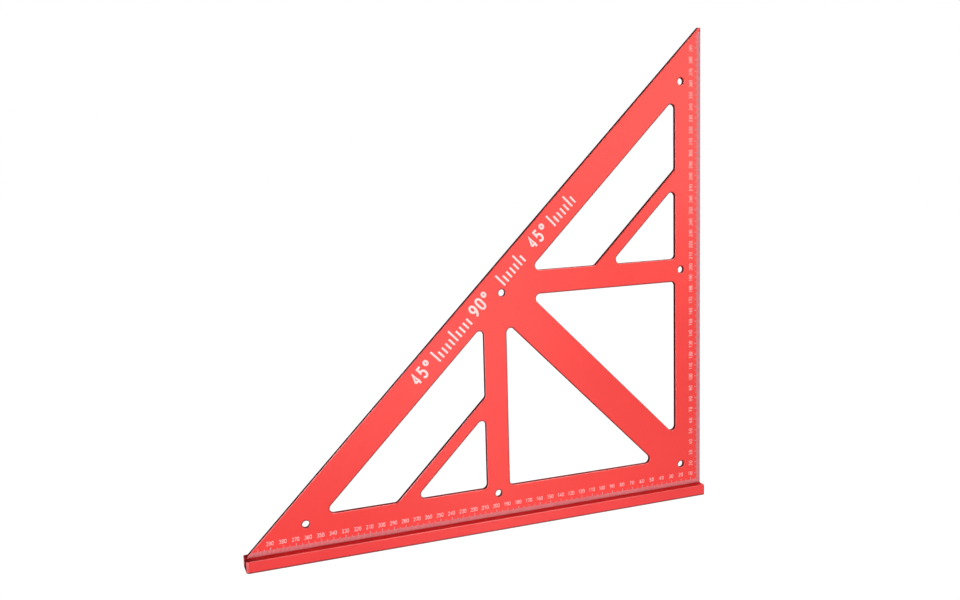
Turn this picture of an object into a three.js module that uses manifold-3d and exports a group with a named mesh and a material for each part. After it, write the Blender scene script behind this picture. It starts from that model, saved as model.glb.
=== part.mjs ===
// Woodworker's 400 mm triangle square: a flat aluminium blade seated in the slot of a fence bar.
//
// The square stands on its fence. X runs along the fence, +Z is up and the ruled face of the
// blade looks towards -Y. The origin is the centre of the fence's underside.
//
// Inside the model, places on the blade are also given as (u, v): u is the distance from the
// upright ruled edge and v is the height above the fence, so both rulers read zero at (0, 0).

import * as THREE from 'three';
import { mergeVertices } from 'three/addons/utils/BufferGeometryUtils.js';
import Module from 'manifold-3d';

const wasm = await Module();
wasm.setup();

// ---- Driving dimensions, in millimetres ----

const GAP = 0.3; // clearance between pieces that touch on the real tool

const FENCE_LENGTH = 410.1;
const FENCE_DEPTH = 16;
const FENCE_HEIGHT = 9.6;
const FRONT_LIP = 7; // fence depth in front of the blade's front face
const FENCE_EDGE_BREAK = 0.4;
const FENCE_CORNER_BREAK = 0.4; // chamfer on three of the fence's four upright corners
const FENCE_LEFT_CUT = 1.7; // the wider one on the front left corner

const BLADE_THICKNESS = 4;
const BLADE_REACH = 409.6; // u + v along the sloping edge
const BLADE_TIP_HEIGHT = 407.3; // v of the short flat that blunts the upper tip
const BLADE_TIP_CUT = 0.7; // chamfer between that flat and the upright ruled edge
const BLADE_EDGE_BREAK = 0.5;
const FOOT_DEPTH = 7.4; // how far the blade goes down into the fence's slot
const SLOT_FRONT_GAP = 0.45; // wide enough for a 2 mm board on the front lip to clear the bevel

const RULER_WIDTH = 4; // width of the bevels that carry the fine marks
const RULER_DROP = 0.5; // how far a bevel falls back at the ruled edge

const LIMB = 25.45; // width of the two limbs along the ruled edges, and of the sloping limb
const RIB_NEAR = 187.25; // the ribs square to each ruled edge lie between these two lines
const RIB_FAR = 207.35;
const BRACE_ABOVE = 21.6; // the diagonal brace lies between v - u = BRACE_ABOVE
const BRACE_BELOW = 20.95; // and u - v = BRACE_BELOW
const CROSS_BAR_NEAR = 297.25; // the two cross bars lie between these values of u + v
const CROSS_BAR_FAR = 311.75;
const SLOPE_INNER = 373.25; // u + v along the inner side of the sloping limb
const WINDOW_RADIUS = 4;
const WINDOW_ARC_STEPS = 10;

const HOLE_RADIUS = 3;
const HOLE_INSET = 19.8; // distance of the limb holes from the ruled edges
const HOLE_MIDDLE = 197.6;
const HOLE_FAR = 361.5;
const HOLE_BRACE = 190.6; // u and v of the hole where the ribs cross the brace

const SCREW_COUNT = 8;
const SCREW_END_INSET = 22; // from the fence's end to its first screw
const SCREW_LENGTH = 12;
const SCREW_RADIUS = 1.5;
const SCREW_HEAD_RADIUS = 2.8;
const SCREW_HEAD_HEIGHT = 1.7;
const SCREW_SOCKET_WIDTH = 2; // across the flats of the hexagon socket
const SCREW_SOCKET_DEPTH = 1.1;
const SCREW_SINK = 0.2; // head below the fence's rear face
const PIN_RADIUS = 2;
const PIN_LENGTH = 12;
const PIN_END_INSET = 47; // from the fence's end to its dowel pin
const PIN_END_CHAMFER = 0.4;
const FASTENER_DROP = 3.4; // fastener axes below the top of the fence

const ROUND_STEPS = 32;
const PAST = 2; // how far a cutter runs past the face that it opens

// ---- Derived places ----

const RIGHT_X = FENCE_LENGTH / 2;
const REAR_Y = FENCE_DEPTH / 2;
const BLADE_FRONT_Y = -REAR_Y + FRONT_LIP;
const BLADE_BACK_Y = BLADE_FRONT_Y + BLADE_THICKNESS;
const FOOT_FRONT_Y = BLADE_FRONT_Y + RULER_DROP;
const FASTENER_Z = FENCE_HEIGHT - FASTENER_DROP;

const xOf = (u) => RIGHT_X - u;
const zOf = (v) => FENCE_HEIGHT + v;

// ---- Materials ----

const paint = (color, roughness, metalness) =>
  new THREE.MeshStandardMaterial({ color, roughness, metalness });
const bladeRed = paint(0xe0282b, 0.42, 0.55);
const fenceRed = paint(0xd8252a, 0.45, 0.55);
const blackSteel = paint(0x26262a, 0.4, 0.9);
const groundSteel = paint(0xb9bcc0, 0.28, 1);

// ---- Solids: geometry in, geometry out, with cuts between ----

function toSolid(geometry) {
  const bare = geometry.clone();
  bare.deleteAttribute('normal');
  bare.deleteAttribute('uv');
  const merged = mergeVertices(bare, 1e-4);
  return new wasm.Manifold(new wasm.Mesh({
    numProp: 3,
    vertProperties: new Float32Array(merged.attributes.position.array),
    triVerts: new Uint32Array(merged.index.array),
  }));
}

function toGeometry(solid) {
  const { vertProperties, triVerts } = solid.getMesh();
  const shared = new THREE.BufferGeometry();
  shared.setAttribute('position', new THREE.BufferAttribute(vertProperties, 3));
  shared.setIndex(new THREE.BufferAttribute(triVerts, 1));
  const faceted = shared.toNonIndexed();
  faceted.computeVertexNormals();
  return faceted;
}

function cut(geometry, cutters) {
  const solid = cutters.reduce((left, cutter) => left.subtract(toSolid(cutter)), toSolid(geometry));
  return toGeometry(solid);
}

// A shape extruded upwards by depth, with its rims chamfered inside its own outline.
function prism(shape, depth, chamfer) {
  const geometry = new THREE.ExtrudeGeometry(shape, {
    depth: depth - 2 * chamfer,
    bevelEnabled: chamfer > 0,
    bevelThickness: chamfer,
    bevelSize: chamfer,
    bevelOffset: -chamfer,
    bevelSegments: 1,
    curveSegments: WINDOW_ARC_STEPS,
  });
  return geometry.translate(0, 0, chamfer);
}

const polygon = (corners) => new THREE.Shape(corners.map(([a, b]) => new THREE.Vector2(a, b)));

// A turned piece about the Y axis, from [radius, y] pairs that run from the lower to the upper end.
const turned = (profile) =>
  new THREE.LatheGeometry(profile.map(([r, y]) => new THREE.Vector2(r, y)), ROUND_STEPS);

// ---- Blade ----

// Adds a closed loop with rounded corners to a path. Corners are (u, v) places.
function roundedLoop(path, places, radius) {
  const corners = places.map(([u, v]) => new THREE.Vector2(xOf(u), zOf(v)));
  corners.forEach((corner, i) => {
    const before = corners.at(i - 1).clone().sub(corner).normalize();
    const after = corners[(i + 1) % corners.length].clone().sub(corner).normalize();
    const half = Math.acos(before.dot(after)) / 2;
    const start = corner.clone().addScaledVector(before, radius / Math.tan(half));
    const end = corner.clone().addScaledVector(after, radius / Math.tan(half));
    const middle = before.clone().add(after).setLength(radius / Math.sin(half)).add(corner);
    const from = start.clone().sub(middle).angle();
    const to = end.clone().sub(middle).angle();
    const clockwise = start.clone().sub(middle).cross(end.clone().sub(middle)) < 0;
    path.absarc(middle.x, middle.y, radius, from, to, clockwise);
  });
  path.closePath();
  return path;
}

// The windows on the upper side of the brace. The lower ones are made with u and v swapped.
const windowsPast = (brace) => [
  [
    [LIMB, SLOPE_INNER - LIMB], [LIMB, CROSS_BAR_FAR - LIMB],
    [CROSS_BAR_FAR - RIB_FAR, RIB_FAR], [SLOPE_INNER - RIB_FAR, RIB_FAR],
  ],
  [[LIMB, CROSS_BAR_NEAR - LIMB], [LIMB, RIB_FAR], [CROSS_BAR_NEAR - RIB_FAR, RIB_FAR]],
  [[LIMB, RIB_NEAR], [LIMB, LIMB + brace], [RIB_NEAR - brace, RIB_NEAR]],
];
const mirrored = (places) => places.map(([u, v]) => [v, u]).reverse();

const HOLES = [
  [HOLE_INSET, HOLE_INSET],
  [HOLE_INSET, HOLE_MIDDLE],
  [HOLE_INSET, HOLE_FAR],
  [HOLE_MIDDLE, HOLE_INSET],
  [HOLE_FAR, HOLE_INSET],
  [HOLE_BRACE, HOLE_BRACE],
];

function bladeOutline() {
  const outline = polygon([
    [xOf(0), zOf(-FOOT_DEPTH)],
    [xOf(0), zOf(BLADE_TIP_HEIGHT - BLADE_TIP_CUT)],
    [xOf(BLADE_TIP_CUT), zOf(BLADE_TIP_HEIGHT)],
    [xOf(BLADE_REACH - BLADE_TIP_HEIGHT), zOf(BLADE_TIP_HEIGHT)],
    [xOf(BLADE_REACH), zOf(0)],
    [xOf(BLADE_REACH), zOf(-FOOT_DEPTH)],
  ]);
  for (const places of [...windowsPast(BRACE_ABOVE), ...windowsPast(BRACE_BELOW).map(mirrored)]) {
    outline.holes.push(roundedLoop(new THREE.Path(), places, WINDOW_RADIUS));
  }
  for (const [u, v] of HOLES) {
    const hole = new THREE.Path();
    const points = Array.from({ length: ROUND_STEPS }, (_, i) => {
      const turn = (2 * Math.PI * i) / ROUND_STEPS;
      const x = xOf(u) + HOLE_RADIUS * Math.cos(turn);
      return new THREE.Vector2(x, zOf(v) + HOLE_RADIUS * Math.sin(turn));
    });
    outline.holes.push(hole.setFromPoints(points));
  }
  return outline;
}

// Each ruler bevel is cut by a wedge whose sloping side passes through the blade's front face
// at RULER_WIDTH from the ruled edge and lies RULER_DROP behind it at the edge.
function rulerWedges() {
  const slope = RULER_WIDTH / RULER_DROP;
  const front = BLADE_FRONT_Y - PAST;
  const upright = prism(polygon([
    [xOf(-PAST), front],
    [xOf(-PAST), FOOT_FRONT_Y + PAST / slope],
    [xOf(RULER_WIDTH + PAST * slope), front],
  ]), zOf(BLADE_TIP_HEIGHT + PAST), 0);
  const level = prism(polygon([
    [front, zOf(-FOOT_DEPTH - PAST)],
    [FOOT_FRONT_Y, zOf(-FOOT_DEPTH - PAST)],
    [FOOT_FRONT_Y, zOf(0)],
    [front, zOf(RULER_WIDTH + PAST * slope)],
  ]), FENCE_LENGTH + 2 * PAST, 0);
  // Turn the level wedge's section into the YZ plane and its length along X.
  level.applyMatrix4(new THREE.Matrix4().makeBasis(
    new THREE.Vector3(0, 1, 0), new THREE.Vector3(0, 0, 1), new THREE.Vector3(1, 0, 0)));
  level.translate(-RIGHT_X - PAST, 0, 0);
  return [upright, level];
}

function bladeGeometry() {
  const plate = prism(bladeOutline(), BLADE_THICKNESS, BLADE_EDGE_BREAK);
  plate.rotateX(Math.PI / 2).translate(0, BLADE_BACK_Y, 0);
  return cut(plate, [...rulerWedges(), ...fastenerCutters()]);
}

// ---- Fasteners ----

// The screw's half section, grown by clearance on every side. y = 0 is the top of the head.
function screwProfile(clearance) {
  const coneShift = clearance * (Math.SQRT2 - 1);
  const coneEnd = -SCREW_HEAD_HEIGHT - coneShift;
  const top = clearance > 0 ? PAST : 0;
  return [
    [0, -SCREW_LENGTH - clearance],
    [SCREW_RADIUS + clearance, -SCREW_LENGTH - clearance],
    [SCREW_RADIUS + clearance, coneEnd],
    [SCREW_HEAD_RADIUS + clearance, coneEnd + SCREW_HEAD_RADIUS - SCREW_RADIUS],
    [SCREW_HEAD_RADIUS + clearance, top],
    [0, top],
  ];
}

function pinProfile(clearance) {
  const radius = PIN_RADIUS + clearance;
  const top = clearance > 0 ? PAST : 0;
  const chamfer = clearance > 0 ? 0 : PIN_END_CHAMFER;
  const ends = chamfer > 0
    ? [[radius - chamfer, -PIN_LENGTH], [radius, -PIN_LENGTH + chamfer], [radius, -chamfer],
      [radius - chamfer, 0]]
    : [[radius, -PIN_LENGTH - clearance], [radius, top]];
  return [[0, -PIN_LENGTH - clearance], ...ends, [0, top]];
}

const SCREW_PITCH = (FENCE_LENGTH - 2 * SCREW_END_INSET) / (SCREW_COUNT - 1);
const screwXs = Array.from(
  { length: SCREW_COUNT }, (_, i) => -RIGHT_X + SCREW_END_INSET + i * SCREW_PITCH);
const pinXs = [-RIGHT_X + PIN_END_INSET, RIGHT_X - PIN_END_INSET];
const FASTENER_TOP_Y = REAR_Y - SCREW_SINK;

function fastenerCutters() {
  const screws = screwXs.map(
    (x) => turned(screwProfile(GAP)).translate(x, FASTENER_TOP_Y, FASTENER_Z));
  const pins = pinXs.map(
    (x) => turned(pinProfile(GAP)).translate(x, FASTENER_TOP_Y, FASTENER_Z));
  return [...screws, ...pins];
}

function screwGeometry() {
  const cornerRadius = SCREW_SOCKET_WIDTH / Math.sqrt(3);
  const socket = new THREE.CylinderGeometry(
    cornerRadius, cornerRadius, SCREW_SOCKET_DEPTH + PAST, 6);
  socket.translate(0, (PAST - SCREW_SOCKET_DEPTH) / 2, 0);
  return cut(turned(screwProfile(0)), [socket]);
}

// ---- Fence ----

function fenceGeometry() {
  const right = RIGHT_X;
  const rear = REAR_Y;
  const corner = FENCE_CORNER_BREAK;
  const wide = FENCE_LEFT_CUT;
  const bar = prism(polygon([
    [right - corner, -rear], [right, corner - rear],
    [right, rear - corner], [right - corner, rear],
    [corner - right, rear], [-right, rear - corner],
    [-right, wide - rear], [wide - right, -rear],
  ]), FENCE_HEIGHT, FENCE_EDGE_BREAK);
  const slotFront = FOOT_FRONT_Y - SLOT_FRONT_GAP;
  const slotBack = BLADE_BACK_Y + GAP;
  const slotFloor = FENCE_HEIGHT - FOOT_DEPTH - GAP;
  const slot = new THREE.BoxGeometry(
    FENCE_LENGTH + 2 * PAST, slotBack - slotFront, FENCE_HEIGHT + PAST - slotFloor);
  slot.translate(0, (slotBack + slotFront) / 2, (FENCE_HEIGHT + PAST + slotFloor) / 2);
  return cut(bar, [slot, ...fastenerCutters()]);
}

// ---- Assembly ----

function piece(name, geometry, material) {
  const mesh = new THREE.Mesh(geometry, material);
  mesh.name = name;
  return mesh;
}

const square = new THREE.Group();
square.add(piece('blade', bladeGeometry(), bladeRed));
square.add(piece('fence', fenceGeometry(), fenceRed));

const fasteners = new THREE.Group();
fasteners.position.set(0, FASTENER_TOP_Y, FASTENER_Z);
screwXs.forEach((x, i) => {
  const screw = piece(`fence_screw_${i + 1}`, screwGeometry(), blackSteel);
  screw.position.x = x;
  fasteners.add(screw);
});
pinXs.forEach((x, i) => {
  const pin = piece(`dowel_pin_${i + 1}`, toGeometry(toSolid(turned(pinProfile(0)))), groundSteel);
  pin.position.x = x;
  fasteners.add(pin);
});
square.add(fasteners);

export default square;
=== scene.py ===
# Looks for the 400 mm triangle square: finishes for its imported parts, and the marks etched on
# its ruled face. Lengths are in metres, in the CAD frame: the square stands on Z = 0, X runs
# along the fence and the ruled face looks towards -Y.

import math

import bmesh
import bpy
from mathutils import Matrix, Vector


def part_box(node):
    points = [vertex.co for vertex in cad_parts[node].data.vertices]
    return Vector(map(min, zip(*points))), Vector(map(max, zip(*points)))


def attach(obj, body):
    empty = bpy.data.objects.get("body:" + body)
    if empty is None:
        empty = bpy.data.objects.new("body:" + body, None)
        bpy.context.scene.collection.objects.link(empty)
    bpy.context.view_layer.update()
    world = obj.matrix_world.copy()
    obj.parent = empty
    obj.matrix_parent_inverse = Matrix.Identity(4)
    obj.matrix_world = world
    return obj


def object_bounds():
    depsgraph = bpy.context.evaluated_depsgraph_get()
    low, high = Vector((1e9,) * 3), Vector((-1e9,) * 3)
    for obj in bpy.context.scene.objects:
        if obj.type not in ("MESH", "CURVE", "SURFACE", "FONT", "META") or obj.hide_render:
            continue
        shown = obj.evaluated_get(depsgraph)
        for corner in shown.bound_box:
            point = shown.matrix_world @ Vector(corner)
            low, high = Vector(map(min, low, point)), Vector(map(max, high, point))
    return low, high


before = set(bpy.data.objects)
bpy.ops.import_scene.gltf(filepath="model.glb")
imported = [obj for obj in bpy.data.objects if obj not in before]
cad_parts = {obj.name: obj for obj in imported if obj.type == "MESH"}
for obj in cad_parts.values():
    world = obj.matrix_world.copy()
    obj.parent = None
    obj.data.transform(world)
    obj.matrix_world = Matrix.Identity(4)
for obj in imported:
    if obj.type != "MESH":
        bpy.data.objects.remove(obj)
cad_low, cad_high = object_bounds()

MM = 0.001

# ---- The ruled face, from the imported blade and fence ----

blade_low, blade_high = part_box("blade")
RULED_X = blade_high.x  # the upright ruled edge
SHOULDER_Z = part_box("fence")[1].z  # the top of the fence, where the level ruled edge meets it
FACE_Y = blade_low.y

BEVEL_WIDTH = 4 * MM  # the bevels along both ruled edges
BEVEL_DROP = 0.5 * MM
SLOPE_REACH = 409.6 * MM  # u + v along the sloping edge


def on_face(u, v, lift=0.0):
    """A place on the ruled face, u in from the upright edge and v above the fence."""
    drop = BEVEL_DROP * max(0.0, 1.0 - min(u, v) / BEVEL_WIDTH)
    return Vector((RULED_X - u, FACE_Y + drop - lift, SHOULDER_Z + v))


# ---- Marks: closed bars that hug the ruled face ----

MARK_LIFT = 0.03 * MM
MARK_SINK = 0.03 * MM
STROKE_STEP = 0.006 * MM  # each stroke of a figure stands this much above the one before


def add_bar(mesh, rungs, place, closed=False, raised=0.0):
    """Adds a closed bar of rectangular section along rungs, which are (left, right) places."""
    rings = []
    high = MARK_LIFT + raised
    for left, right in rungs:
        corners = [(left, high), (right, high), (right, -MARK_SINK), (left, -MARK_SINK)]
        rings.append([mesh.verts.new(place(*spot, lift)) for spot, lift in corners])
    following = rings[1:] + rings[:1] if closed else rings[1:]
    for ring, after in zip(rings, following):
        for i in range(4):
            j = (i + 1) % 4
            mesh.faces.new((ring[i], ring[j], after[j], after[i]))
    if not closed:
        mesh.faces.new(rings[0][::-1])
        mesh.faces.new(rings[-1])


def finish_piece(name, mesh, material):
    """Turns a bmesh into a named piece that rides on the square."""
    bmesh.ops.recalc_face_normals(mesh, faces=mesh.faces)
    data = bpy.data.meshes.new(name)
    mesh.to_mesh(data)
    mesh.free()
    data.materials.append(material)
    piece = bpy.data.objects.new(name, data)
    bpy.context.scene.collection.objects.link(piece)
    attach(piece, "root")


# ---- Figures: strokes drawn in a cell one unit high, with its lower left corner at (0, 0) ----

CELL = 0.52  # the cell's width


def arc(centre, radii, start, end, steps=8):
    """Points along part of an ellipse, between two angles in degrees."""
    turns = [math.radians(start + (end - start) * i / steps) for i in range(steps + 1)]
    return [(centre[0] + radii[0] * math.cos(t), centre[1] + radii[1] * math.sin(t)) for t in turns]


def figure_strokes(figure):
    """(points, closed) strokes of one figure. A degree sign is a small ring."""
    half = CELL / 2
    if figure == "0":
        low = arc((half, half), (half, half), 180, 360)
        high = arc((half, 1 - half), (half, half), 0, 180)
        return [(low + high, True)]
    if figure == "1":
        return [([(0.1, 0.78), (0.34, 1), (0.34, 0)], False)]
    if figure == "2":
        hook = arc((half, 0.73), (half, 0.27), 170, -28)
        return [(hook + [(0, 0), (CELL, 0)], False)]
    if figure == "3":
        high = arc((0.25, 0.765), (0.23, 0.235), 150, -75)
        low = arc((0.25, 0.275), (0.27, 0.275), 75, -150)
        return [(high + low, False)]
    if figure == "4":
        return [([(0.38, 0), (0.38, 1), (0, 0.3)], False), ([(0, 0.3), (CELL, 0.3)], False)]
    if figure == "5":
        bowl = arc((0.24, 0.32), (0.28, 0.32), 125, -150)
        return [([(0.47, 1), (0.1, 1)] + bowl, False)]
    if figure == "6":
        ring = arc((half, 0.3), (half, 0.3), 0, 360, 14)[:-1]
        back = arc((0.5, 0.3), (0.5, 0.7), 180, 100, 6)
        return [(ring, True), (back, False)]
    if figure == "7":
        return [([(0, 1), (CELL, 1), (0.17, 0)], False)]
    if figure == "8":
        low = arc((half, 0.275), (half, 0.275), 90, 450, 14)[:-1]
        high = arc((half, 0.77), (0.22, 0.23), -90, 270, 12)[:-1]
        return [(low, True), (high, True)]
    if figure == "9":
        return [
            ([(CELL - x, 1 - y) for x, y in points], closed)
            for points, closed in figure_strokes("6")
        ]
    return [(arc((0.18, 0.82), (0.18, 0.18), 0, 360, 16)[:-1], True)]


def rungs_along(points, width, closed):
    """(left, right) places of a stroke of one width, mitred at its corners."""
    points = [Vector(p) for p in points]
    count = len(points)
    rungs = []
    for i, point in enumerate(points):
        before = points[i - 1] if closed or i > 0 else None
        after = points[(i + 1) % count] if closed or i < count - 1 else None
        into = (point - before).normalized() if before is not None else (after - point).normalized()
        out = (after - point).normalized() if after is not None else into
        side = Vector((-into.y - out.y, into.x + out.x)).normalized()
        reach = width / 2 / max(0.5, side.dot(Vector((-into.y, into.x))))
        rungs.append((tuple(point + side * reach), tuple(point - side * reach)))
    return rungs


def add_figures(mesh, text, width, height, stroke, gap, place):
    """Adds a line of figures, centred on (0, 0) in its own plane. place maps that plane."""
    pitch = width + gap
    start = -(pitch * len(text) - gap) / 2
    inner_width = width - stroke
    inner_height = height - stroke
    for i, figure in enumerate(text):
        left = start + i * pitch + stroke / 2
        for layer, (points, closed) in enumerate(figure_strokes(figure)):
            path = [
                (left + x / CELL * inner_width, -inner_height / 2 + y * inner_height)
                for x, y in points
            ]
            rungs = rungs_along(path, stroke, closed)
            add_bar(mesh, rungs, place, closed, layer * STROKE_STEP)


# ---- Rulers ----

TICK_WIDTH = 0.6 * MM
TICK_START = 0.05 * MM
TICK_FINE = BEVEL_WIDTH
TICK_FIVE = 5.0 * MM
TICK_TEN = 6.1 * MM
SLOPE_MARGIN = 0.9 * MM  # bare metal kept along the sloping edge
LAST_TICK_LEVEL = 408
LAST_TICK_UPRIGHT = 403

FIRST_LABEL_LEVEL = 10
FIRST_LABEL_UPRIGHT = 20
LAST_LABEL = 390
LABEL_STEP = 10
FIGURE_WIDTH = 1.8 * MM
FIGURE_HEIGHT = 3.4 * MM
FIGURE_STROKE = 0.38 * MM
FIGURE_GAPS = {2: 0.75 * MM, 3: 0.3 * MM}  # between figures, by how many a label has
LEVEL_LABEL_INSET = 10.05 * MM  # from the level ruled edge to the middle of its figures
LEVEL_LABEL_SLANT = 0.002  # the row of figures closes in on its edge by this share
LEVEL_LABEL_SHIFT = 0.5 * MM  # figures stand this far past their ticks
UPRIGHT_LABEL_INSET = 10.0 * MM
UPRIGHT_LABEL_SHIFT = -0.6 * MM


def tick_reach(count):
    """How far in from its ruled edge a tick runs. Ticks near the corner stop at its mitre."""
    longest = TICK_TEN if count % 10 == 0 else TICK_FIVE if count % 5 == 0 else TICK_FINE
    room = SLOPE_REACH - count * MM - SLOPE_MARGIN
    return min(longest, count * MM, room)


def add_ticks(mesh, last, place):
    for count in range(1, last + 1):
        reach = tick_reach(count)
        stops = [TICK_START, reach]
        if reach > BEVEL_WIDTH:
            stops.insert(1, BEVEL_WIDTH)
        middle = count * MM
        rungs = [((middle - TICK_WIDTH / 2, s), (middle + TICK_WIDTH / 2, s)) for s in stops]
        add_bar(mesh, rungs, place)


def level_ticks(mesh):
    def place(along, inward, lift):
        return on_face(along, inward, lift)
    add_ticks(mesh, LAST_TICK_LEVEL, place)


def upright_ticks(mesh):
    def place(along, inward, lift):
        return on_face(inward, along, lift)
    add_ticks(mesh, LAST_TICK_UPRIGHT, place)


def add_label(mesh, count, place):
    text = str(count)
    gap = FIGURE_GAPS[len(text)]
    add_figures(mesh, text, FIGURE_WIDTH, FIGURE_HEIGHT, FIGURE_STROKE, gap, place)


def level_labels(mesh):
    for count in range(FIRST_LABEL_LEVEL, LAST_LABEL + 1, LABEL_STEP):
        def place(x, y, lift):
            inset = LEVEL_LABEL_INSET - LEVEL_LABEL_SLANT * count * MM
            return on_face(count * MM + LEVEL_LABEL_SHIFT - x, inset + y, lift)
        add_label(mesh, count, place)


def upright_labels(mesh):
    for count in range(FIRST_LABEL_UPRIGHT, LAST_LABEL + 1, LABEL_STEP):
        def place(x, y, lift):
            return on_face(UPRIGHT_LABEL_INSET + y, count * MM + UPRIGHT_LABEL_SHIFT + x, lift)
        add_label(mesh, count, place)


# ---- The plain angle mark along the sloping limb ----

SLOPE_MARK_HEIGHT = 12 * MM
SLOPE_MARK_INSET = 11.7 * MM  # from the sloping edge to the middle of the mark
SLOPE_MARK_STROKE = 1.9 * MM
SLOPE_FIGURE_WIDTH = 6.24 * MM
SLOPE_FIGURE_GAP = 1.7 * MM
# Each group is a number and a run of bars: where it starts, its number and how many bars.
SLOPE_GROUPS = ((-103 * MM, "45°", 10), (-30 * MM, "90°", 7), (45 * MM, "45°", 7))
BAR_PITCH = 4.4 * MM
BAR_WIDTH = 1.7 * MM
BAR_HEIGHT = 7.0 * MM
BAR_LEAD = 5.4 * MM  # from a group's number to the middle of its first bar
BAR_LEAD_AT_HOLE = 14.5 * MM  # keeps the bars of the middle group clear of the hole there
TALL_BAR_EVERY = 5


def slope_place(x, y, lift):
    """x runs up the sloping limb from its middle and y outwards from the middle of the mark."""
    across = SLOPE_REACH / math.sqrt(2) - SLOPE_MARK_INSET + y
    u = (across - x) / math.sqrt(2)
    v = (across + x) / math.sqrt(2)
    return on_face(u, v, lift)


def add_bar_run(mesh, first, count):
    """A run of bars, the first centred at first. It is tall, and so is every fifth after it."""
    foot = -SLOPE_MARK_HEIGHT / 2
    for i in range(count):
        top = foot + (SLOPE_MARK_HEIGHT if i % TALL_BAR_EVERY == 0 else BAR_HEIGHT)
        left = first + i * BAR_PITCH - BAR_WIDTH / 2
        right = left + BAR_WIDTH
        add_bar(mesh, [((left, foot), (right, foot)), ((left, top), (right, top))], slope_place)


def slope_marks(mesh):
    for start, text, bars in SLOPE_GROUPS:
        width = len(text) * (SLOPE_FIGURE_WIDTH + SLOPE_FIGURE_GAP) - SLOPE_FIGURE_GAP
        middle = start + width / 2
        end = start + width

        def place(x, y, lift):
            return slope_place(middle + x, y, lift)
        add_figures(
            mesh, text, SLOPE_FIGURE_WIDTH, SLOPE_MARK_HEIGHT, SLOPE_MARK_STROKE, SLOPE_FIGURE_GAP, place
        )
        at_hole = start < 0 < end + BAR_LEAD_AT_HOLE
        add_bar_run(mesh, end + (BAR_LEAD_AT_HOLE if at_hole else BAR_LEAD), bars)


# ---- Material nodes ----

NOISE_LOW = 0.3  # nearly all noise values lie between these two
NOISE_HIGH = 0.7


def new_material(name):
    material = bpy.data.materials.new(name)
    material.use_nodes = True
    tree = material.node_tree
    return material, tree, tree.nodes["Principled BSDF"]


def noise(tree, scale, detail, roughness, stretch=None):
    """A noise value in object space, with features about 1 / scale metres across."""
    place = tree.nodes.new("ShaderNodeTexCoord")
    source = place.outputs["Object"]
    if stretch is not None:
        mapping = tree.nodes.new("ShaderNodeMapping")
        mapping.inputs["Scale"].default_value = stretch
        tree.links.new(source, mapping.inputs["Vector"])
        source = mapping.outputs["Vector"]
    texture = tree.nodes.new("ShaderNodeTexNoise")
    texture.inputs["Scale"].default_value = scale
    texture.inputs["Detail"].default_value = detail
    texture.inputs["Roughness"].default_value = roughness
    tree.links.new(source, texture.inputs["Vector"])
    return texture.outputs["Fac"]


def spread(tree, value, low, high, start=NOISE_LOW, end=NOISE_HIGH):
    """Maps a value from start..end to low..high, and clamps it there."""
    mapped = tree.nodes.new("ShaderNodeMapRange")
    mapped.inputs["From Min"].default_value = start
    mapped.inputs["From Max"].default_value = end
    mapped.inputs["To Min"].default_value = low
    mapped.inputs["To Max"].default_value = high
    tree.links.new(value, mapped.inputs["Value"])
    return mapped.outputs["Result"]


def rise(tree, value, start, end):
    """0 up to start and 1 from end."""
    return spread(tree, value, 0.0, 1.0, start, end)


def fall(tree, value, start, end):
    """1 up to start and 0 from end."""
    return spread(tree, value, 1.0, 0.0, start, end)


def combine(tree, operation, first, second):
    node = tree.nodes.new("ShaderNodeMath")
    node.operation = operation
    tree.links.new(first, node.inputs[0])
    tree.links.new(second, node.inputs[1])
    return node.outputs[0]


def times(tree, first, second):
    return combine(tree, "MULTIPLY", first, second)


def largest(tree, first, second):
    return combine(tree, "MAXIMUM", first, second)


def blend_colors(tree, fac, first, second):
    """A colour between first and second. Each is a colour or a socket."""
    mixed = tree.nodes.new("ShaderNodeMix")
    mixed.data_type = "RGBA"
    tree.links.new(fac, mixed.inputs["Factor"])
    for source, name in ((first, "A"), (second, "B")):
        socket = next(s for s in mixed.inputs if s.name == name and s.type == "RGBA")
        if isinstance(source, tuple):
            socket.default_value = (*source, 1.0)
        else:
            tree.links.new(source, socket)
    return next(s for s in mixed.outputs if s.type == "RGBA")


BUMP_DISTANCE = 0.01 * MM


def bump(tree, height, strength, base=None):
    node = tree.nodes.new("ShaderNodeBump")
    node.inputs["Strength"].default_value = strength
    node.inputs["Distance"].default_value = BUMP_DISTANCE
    tree.links.new(height, node.inputs["Height"])
    if base is not None:
        tree.links.new(base, node.inputs["Normal"])
    return node.outputs["Normal"]


def aligned(tree, first, second):
    """The dot product of two directions. Each is a direction or a socket."""
    dot = tree.nodes.new("ShaderNodeVectorMath")
    dot.operation = "DOT_PRODUCT"
    for source, socket in ((first, dot.inputs[0]), (second, dot.inputs[1])):
        if isinstance(source, (tuple, Vector)):
            socket.default_value = source
        else:
            tree.links.new(source, socket)
    return dot.outputs["Value"]


def geometry(tree, name):
    return tree.nodes.new("ShaderNodeNewGeometry").outputs[name]


# ---- Where edges wear, and where painted shade and painted highlight go ----

BEVEL_SAMPLES = 6
FRONT = (0, -1, 0)
UP = (0, 0, 1)
SHADED_SIDE = (0.62, 0.0, -0.78)  # painted shade darkens edges turned this way, and a painted highlight pales chamfers turned away
RIM_RADIUS = 1.8 * MM
# The band of painted shade along the very bottom: full up to the first height and gone from the second.
BOTTOM_SHADE_FULL = 0.8 * MM
BOTTOM_SHADE_TOP = 1.2 * MM

# How far a surface faces the front: walls lie near 0, chamfers near 0.7 and faces at 1.
WALL_START = 0.1
WALL_END = 0.3
CHAMFER_START = 0.5
CHAMFER_END = 0.8
FACE_START = 0.95

# Ranges over which a mask goes from one end to the other.
EDGE_RANGE = (0.95, 0.9995)  # of the rounded normal against the flat one
HIGHLIGHT_RANGE = (-0.3, -0.1)  # of the turn to the shaded side, as in the next two
SHADED_RANGE = (0.1, 0.3)
RIM_RANGE = (0.02, 0.25)
SHELF_RANGE = (0.9, 0.98)  # of the turn upwards


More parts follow.
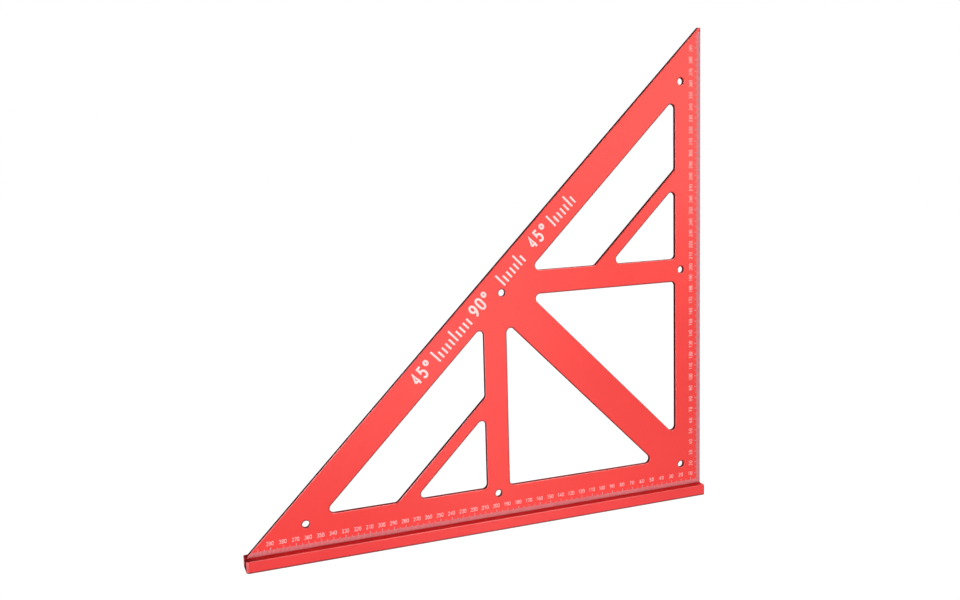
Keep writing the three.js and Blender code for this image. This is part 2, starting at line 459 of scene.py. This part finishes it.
def rounded_normal(tree, radius):
    """The normal as if every edge were rounded to a radius."""
    bevel = tree.nodes.new("ShaderNodeBevel")
    bevel.samples = BEVEL_SAMPLES
    bevel.inputs["Radius"].default_value = radius
    return bevel.outputs["Normal"]


def edge_mask(tree, rounded):
    """1 at the edges, where the rounded normal leaves the flat one, and 0 on flat faces."""
    return fall(tree, aligned(tree, rounded, geometry(tree, "Normal")), *EDGE_RANGE)


def facing(tree, direction):
    """How far the true surface faces a direction, from -1 to 1."""
    return aligned(tree, geometry(tree, "True Normal"), direction)


def front_side(tree):
    """1 on the front faces and their chamfers, and 0 on walls and rear faces."""
    return rise(tree, facing(tree, FRONT), WALL_END, CHAMFER_START)


def front_chamfer(tree):
    """1 on the chamfers around a front face, and 0 on faces and walls."""
    return times(tree, front_side(tree), fall(tree, facing(tree, FRONT), CHAMFER_END, FACE_START))


def sheltered_rim(tree):
    """Above 0 on a front face just inside the edges that are turned to the shaded side: the rim that
    painted shade darkens.
    """
    toward_edge = aligned(tree, rounded_normal(tree, RIM_RADIUS), SHADED_SIDE)
    return times(tree, front_side(tree), rise(tree, toward_edge, *RIM_RANGE))


def cut_wall(tree, share):
    """share on the walls between the front and rear faces, and 0 elsewhere: where painted shade darkens
    the walls.
    """
    ahead = facing(tree, FRONT)
    before_chamfer = spread(tree, ahead, share, 0, WALL_START, WALL_END)
    return times(tree, before_chamfer, rise(tree, ahead, -WALL_END, -WALL_START))


def low_band(tree):
    """1 along the very bottom of the square, fading to 0 at the top of that band: the painted shade
    along the bottom edge.
    """
    split = tree.nodes.new("ShaderNodeSeparateXYZ")
    tree.links.new(geometry(tree, "Position"), split.inputs["Vector"])
    return fall(tree, split.outputs["Z"], BOTTOM_SHADE_FULL, BOTTOM_SHADE_TOP)


# ---- Anodised blade and fence ----

CLOUD_NOISE = (14, 3, 0.55)  # each noise's scale, detail and roughness
GRAIN_NOISE = (2600, 2, 0.6)
PATCH_NOISE = (160, 3, 0.5)
# The pale red of the grain and of worn edges, also laid on chamfers turned away from the shaded side as
# a painted highlight.
WEAR_AND_HIGHLIGHT_RED = (0.93, 0.30, 0.27)
# Painted shade, laid on edges turned to the shaded side, on the rims inside them and along the very
# bottom.
PAINTED_SHADE_RED = (0.10, 0.004, 0.005)
WALL_SHADE_RED = (0.25, 0.0, 0.0)  # painted shade on the walls that the windows and outline are cut to
EDGE_RADIUS = 0.5 * MM
GRAIN_TINT = 0.03  # the most that a pale grain shows
LEAST_PALING = 0.08  # of the pale red on an edge: wear along every edge, and painted highlight on chamfers turned away from the shaded side
MOST_PALING = 0.3
SHADE_VARIATION = 1.2  # the darkest patch of painted shade against the lightest
ROUGHNESS_VARIATION = 0.03
SHELF_COAT = 0.25  # the coat's weight on faces that look straight up


def anodised(name, deep, light, roughness, shade_strength, wall_shade):
    """Satin dyed aluminium: bead-blasted grain, soft clouding, edges paled by wear, and a painted
    highlight on chamfers turned away from the shaded side.

    Of the last two arguments, the first is how strong the painted shade is on edges turned to the shaded
    side and along the very bottom, and the second how far the cut walls are darkened by painted shade.
    """
    material, tree, shader = new_material(name)
    clouds = noise(tree, *CLOUD_NOISE)
    grain = noise(tree, *GRAIN_NOISE)
    patches = noise(tree, *PATCH_NOISE)
    rounded = rounded_normal(tree, EDGE_RADIUS)
    chamfer = front_chamfer(tree)
    side = facing(tree, SHADED_SIDE)

    clouded = blend_colors(tree, spread(tree, clouds, 0, 1), deep, light)
    grainy = blend_colors(tree, spread(tree, grain, 0, GRAIN_TINT), clouded, WEAR_AND_HIGHLIGHT_RED)

    # Painted highlight: chamfers turned away from the shaded side are paled as if lit, on top of the
    # real wear along every edge.
    highlit_chamfers = times(tree, chamfer, fall(tree, side, *HIGHLIGHT_RANGE))
    edges = largest(tree, edge_mask(tree, rounded), highlit_chamfers)
    pale_edges = times(tree, edges, spread(tree, patches, LEAST_PALING, MOST_PALING))
    wear_and_highlight = blend_colors(tree, pale_edges, grainy, WEAR_AND_HIGHLIGHT_RED)
    # Painted shade on the cut walls.
    wall_shaded = blend_colors(tree, cut_wall(tree, wall_shade), wear_and_highlight, WALL_SHADE_RED)

    # Painted shade: chamfers and rims turned to the shaded side, and the very bottom, darkened in
    # patches.
    turned = times(tree, chamfer, rise(tree, side, *SHADED_RANGE))
    shaded_edges = largest(tree, turned, sheltered_rim(tree))
    shade_depth = spread(tree, patches, shade_strength, SHADE_VARIATION * shade_strength)
    painted_shade = times(tree, largest(tree, shaded_edges, low_band(tree)), shade_depth)
    tree.links.new(blend_colors(tree, painted_shade, wall_shaded, PAINTED_SHADE_RED), shader.inputs["Base Color"])

    smooth, rough = roughness - ROUGHNESS_VARIATION, roughness + ROUGHNESS_VARIATION
    tree.links.new(spread(tree, clouds, smooth, rough), shader.inputs["Roughness"])
    surface = bump(tree, grain, 0.3, rounded)
    tree.links.new(surface, shader.inputs["Normal"])
    tree.links.new(surface, shader.inputs["Coat Normal"])
    coat = spread(tree, facing(tree, UP), 1.0, SHELF_COAT, *SHELF_RANGE)
    tree.links.new(coat, shader.inputs["Coat Weight"])
    shader.inputs["Metallic"].default_value = 0.1
    shader.inputs["Specular IOR Level"].default_value = 0.0
    shader.inputs["Coat IOR"].default_value = 1.5
    shader.inputs["Coat Roughness"].default_value = 0.3
    return material


# ---- Fasteners and marks ----

SCREW_HAZE = (900, 4, 0.6)
SCREW_ROUGHNESS = (0.32, 0.48)
SCREW_EDGE_RADIUS = 0.15 * MM
SCREW_BLACK = (0.016, 0.016, 0.018)
SCREW_GREY = (0.045, 0.045, 0.05)
SCREW_RUBBED = (0.30, 0.29, 0.28)
SCREW_RUB = 0.5
PIN_RINGS = (900, 2, 0.5)
PIN_HAZE = (300, 3, 0.5)
PIN_ROUGHNESS = (0.2, 0.34)
PIN_DARK = (0.50, 0.51, 0.53)
PIN_LIGHT = (0.64, 0.65, 0.66)
PIN_GRINDING = (0.05, 6.0, 0.05)  # stretches the noise into rings around the pin's axis
TRACE_BLOTCH = (420, 3, 0.6)
TRACE_GRAIN = (3200, 2, 0.6)
TRACE_ROUGHNESS = (0.5, 0.68)


def black_oxide():
    material, tree, shader = new_material("black_oxide_steel")
    haze = noise(tree, *SCREW_HAZE)
    rounded = rounded_normal(tree, SCREW_EDGE_RADIUS)
    color = blend_colors(tree, spread(tree, haze, 0, 1), SCREW_BLACK, SCREW_GREY)
    pale_edges = spread(tree, edge_mask(tree, rounded), 0, SCREW_RUB, 0, 1)
    tree.links.new(blend_colors(tree, pale_edges, color, SCREW_RUBBED), shader.inputs["Base Color"])
    tree.links.new(spread(tree, haze, *SCREW_ROUGHNESS), shader.inputs["Roughness"])
    tree.links.new(bump(tree, haze, 0.2, rounded), shader.inputs["Normal"])
    shader.inputs["Metallic"].default_value = 0.9
    return material


def ground_steel():
    material, tree, shader = new_material("ground_pin_steel")
    rings = noise(tree, *PIN_RINGS, PIN_GRINDING)
    haze = noise(tree, *PIN_HAZE)
    color = blend_colors(tree, spread(tree, haze, 0, 1), PIN_DARK, PIN_LIGHT)
    tree.links.new(color, shader.inputs["Base Color"])
    tree.links.new(spread(tree, rings, *PIN_ROUGHNESS), shader.inputs["Roughness"])
    tree.links.new(bump(tree, rings, 0.25), shader.inputs["Normal"])
    shader.inputs["Metallic"].default_value = 1.0
    return material


def etched(name, dark, pale):
    """The pale, matt trace that a marking laser leaves in the dyed surface."""
    material, tree, shader = new_material(name)
    blotch = noise(tree, *TRACE_BLOTCH)
    grain = noise(tree, *TRACE_GRAIN)
    color = blend_colors(tree, spread(tree, blotch, 0, 1), dark, pale)
    tree.links.new(color, shader.inputs["Base Color"])
    tree.links.new(spread(tree, grain, *TRACE_ROUGHNESS), shader.inputs["Roughness"])
    tree.links.new(bump(tree, grain, 0.4), shader.inputs["Normal"])
    shader.inputs["Metallic"].default_value = 0.1
    return material


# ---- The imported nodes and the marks, each with its finish ----


def give(kind, material):
    """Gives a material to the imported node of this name, or to all its numbered copies."""
    for node in sorted(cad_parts):
        if kind in (node, node.rstrip("0123456789").rstrip("_")):
            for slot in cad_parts[node].material_slots:
                slot.material = material


def etch(name, fill, finish):
    """Makes one piece of marks, with the shape that fill adds to an empty mesh."""
    shape = bmesh.new()
    fill(shape)
    finish_piece(name, shape, finish)


# The two ends of each finish's colour, between which it is clouded.
BLADE_DEEP = (0.91, 0.017, 0.014)
BLADE_LIGHT = (0.96, 0.025, 0.020)
FENCE_DEEP = (0.89, 0.017, 0.019)
FENCE_LIGHT = (0.94, 0.024, 0.026)
LEVEL_TICKS = ((0.64, 0.27, 0.30), (0.71, 0.34, 0.37))
UPRIGHT_TICKS = ((0.58, 0.26, 0.30), (0.64, 0.32, 0.37))
FIGURES = ((0.92, 0.58, 0.58), (0.97, 0.68, 0.68))
ANGLE_MARKS = ((0.95, 0.67, 0.66), (0.98, 0.79, 0.78))

give("blade", anodised("anodised_red_blade", BLADE_DEEP, BLADE_LIGHT, 0.42, shade_strength=0.75, wall_shade=0.8))
give("fence", anodised("anodised_red_fence", FENCE_DEEP, FENCE_LIGHT, 0.40, shade_strength=0.8, wall_shade=0.0))
give("fence_screw", black_oxide())
give("dowel_pin", ground_steel())

figure_finish = etched("etched_figures", *FIGURES)
etch("level_ruler_ticks", level_ticks, etched("etched_level_ticks", *LEVEL_TICKS))
etch("upright_ruler_ticks", upright_ticks, etched("etched_upright_ticks", *UPRIGHT_TICKS))
etch("level_ruler_figures", level_labels, figure_finish)
etch("upright_ruler_figures", upright_labels, figure_finish)
etch("slope_angle_marks", slope_marks, etched("etched_angle_marks", *ANGLE_MARKS))

# ---- Floor, light and camera ----

FLOOR_HALF = 15.0
FLOOR_COLOR = (0.04, 0.04, 0.04, 1)  # the floor is mostly its own even glow
WHITE = (1, 1, 1, 1)


def pale_floor():
    data = bpy.data.meshes.new("floor")
    half = FLOOR_HALF
    corners = [(-half, -half, 0), (half, -half, 0), (half, half, 0), (-half, half, 0)]
    data.from_pydata(corners, [], [(0, 1, 2, 3)])
    floor = bpy.data.objects.new("floor", data)
    bpy.context.scene.collection.objects.link(floor)
    material, _, shader = new_material("pale_floor")
    shader.inputs["Base Color"].default_value = FLOOR_COLOR
    shader.inputs["Roughness"].default_value = 0.9
    shader.inputs["Specular IOR Level"].default_value = 0.0
    shader.inputs["Emission Color"].default_value = WHITE
    shader.inputs["Emission Strength"].default_value = 1.0
    data.materials.append(material)
    floor.visible_glossy = False
    floor.visible_diffuse = False
    floor.visible_shadow = False


TENT_FRONT = (0.52, -0.86, -0.16)
TENT_BRIGHT = 1.3
TENT_DIM = 0.05
TENT_FLOOR = 0.1  # how bright the tent is straight below, as a share of its sides


def background(tree, strength=1.0):
    node = tree.nodes.new("ShaderNodeBackground")
    node.inputs["Color"].default_value = WHITE
    node.inputs["Strength"].default_value = strength
    return node


def white_world():
    """White to the camera, and to reflections a soft tent, brightest in front and to the right."""
    world = bpy.data.worlds.new("tent")
    bpy.context.scene.world = world
    world.use_nodes = True
    world.cycles_visibility.diffuse = False
    tree = world.node_tree
    tree.nodes.clear()
    place = tree.nodes.new("ShaderNodeTexCoord").outputs["Generated"]
    ahead = aligned(tree, place, Vector(TENT_FRONT).normalized())
    glow = spread(tree, ahead, TENT_DIM, TENT_BRIGHT, 0.3, 1.0)
    split = tree.nodes.new("ShaderNodeSeparateXYZ")
    tree.links.new(place, split.inputs["Vector"])
    above_floor = spread(tree, split.outputs["Z"], TENT_FLOOR, 1.0, -0.75, -0.35)
    tent = background(tree)
    tree.links.new(times(tree, glow, above_floor), tent.inputs["Strength"])
    seen = tree.nodes.new("ShaderNodeLightPath")
    mixed = tree.nodes.new("ShaderNodeMixShader")
    tree.links.new(seen.outputs["Is Camera Ray"], mixed.inputs["Fac"])
    tree.links.new(tent.outputs["Background"], mixed.inputs[1])
    tree.links.new(background(tree).outputs["Background"], mixed.inputs[2])
    output = tree.nodes.new("ShaderNodeOutputWorld")
    tree.links.new(mixed.outputs["Shader"], output.inputs["Surface"])


NEUTRAL = (1, 1, 1)
WARM = (1.0, 0.95, 0.8)
COOL = (0.96, 0.96, 1.08)

# Soft boxes that face the middle of the square: name, direction, distance, (width, height),
# radiance, tint and kind. A "fill" only lights, a "sheen" only reflects and "both" does both.
LIGHTS = (
    ("front_fill", (-0.05, -1.0, -0.1), 1.6, (1.0, 0.8), 9.0, NEUTRAL, "fill"),
    ("key", (0.58, -0.80, 0.12), 1.6, (1.2, 0.6), 2.3, WARM, "sheen"),
    ("front_strip", (0.33, -0.88, -0.3), 1.6, (0.3, 0.7), 2.0, WARM, "sheen"),
    ("left_panel", (-0.93, -0.38, -0.12), 1.5, (1.1, 1.2), 5.0, COOL, "sheen"),
    ("upper_left", (-0.8, -0.4, 0.5), 1.5, (0.45, 0.4), 15.0, COOL, "sheen"),
    ("overhead", (0.32, -0.3, 0.9), 1.4, (0.9, 0.8), 7.0, NEUTRAL, "sheen"),
    ("rear", (0.6, 0.52, 0.6), 1.7, (1.0, 1.0), 4.0, NEUTRAL, "both"),
    ("rear_fill", (0, 1, 0), 1.6, (0.4, 0.4), 28.0, NEUTRAL, "fill"),
)


def soft_light(name, direction, distance, size, radiance, tint, kind):
    target = (cad_low + cad_high) / 2
    away = Vector(direction).normalized()
    width, height = size
    lamp = bpy.data.lights.new(name, "AREA")
    lamp.shape = "RECTANGLE"
    lamp.size = width
    lamp.size_y = height
    lamp.energy = radiance * math.pi * width * height
    lamp.color = tint
    holder = bpy.data.objects.new(name, lamp)
    holder.location = target + away * distance
    holder.rotation_mode = "QUATERNION"
    holder.rotation_quaternion = away.to_track_quat("Z", "Y")
    holder.visible_camera = False
    holder.visible_diffuse = kind != "sheen"
    holder.visible_glossy = kind != "fill"
    bpy.context.scene.collection.objects.link(holder)


CAMERA_PLACE = Vector((-0.29359, -0.76901, 0.33298))
CAMERA_YAW = math.radians(20.68)  # towards +X
CAMERA_PITCH = math.radians(-7.36)
CAMERA_ROLL = math.radians(-1.52)
CAMERA_LENS = 38.06
CAMERA_SENSOR = 36.0
CAMERA_ASIDE = -0.00068  # the shifts, as shares of the picture's width
CAMERA_RISE = -0.03906


def view_camera():
    data = bpy.data.cameras.new("camera")
    data.sensor_width = CAMERA_SENSOR
    data.lens = CAMERA_LENS
    data.shift_x = CAMERA_ASIDE
    data.shift_y = CAMERA_RISE
    data.clip_start = 0.01
    data.clip_end = 100
    camera = bpy.data.objects.new("camera", data)
    level = Matrix.Rotation(math.pi / 2 + CAMERA_PITCH, 4, "X")
    turned = Matrix.Rotation(-CAMERA_YAW, 4, "Z") @ level @ Matrix.Rotation(CAMERA_ROLL, 4, "Z")
    camera.matrix_world = Matrix.Translation(CAMERA_PLACE) @ turned
    bpy.context.scene.collection.objects.link(camera)
    bpy.context.scene.camera = camera


pale_floor()
white_world()
for light in LIGHTS:
    soft_light(*light)
view_camera()

settings = bpy.context.scene.view_settings
settings.view_transform = "Standard"
settings.look = "None"
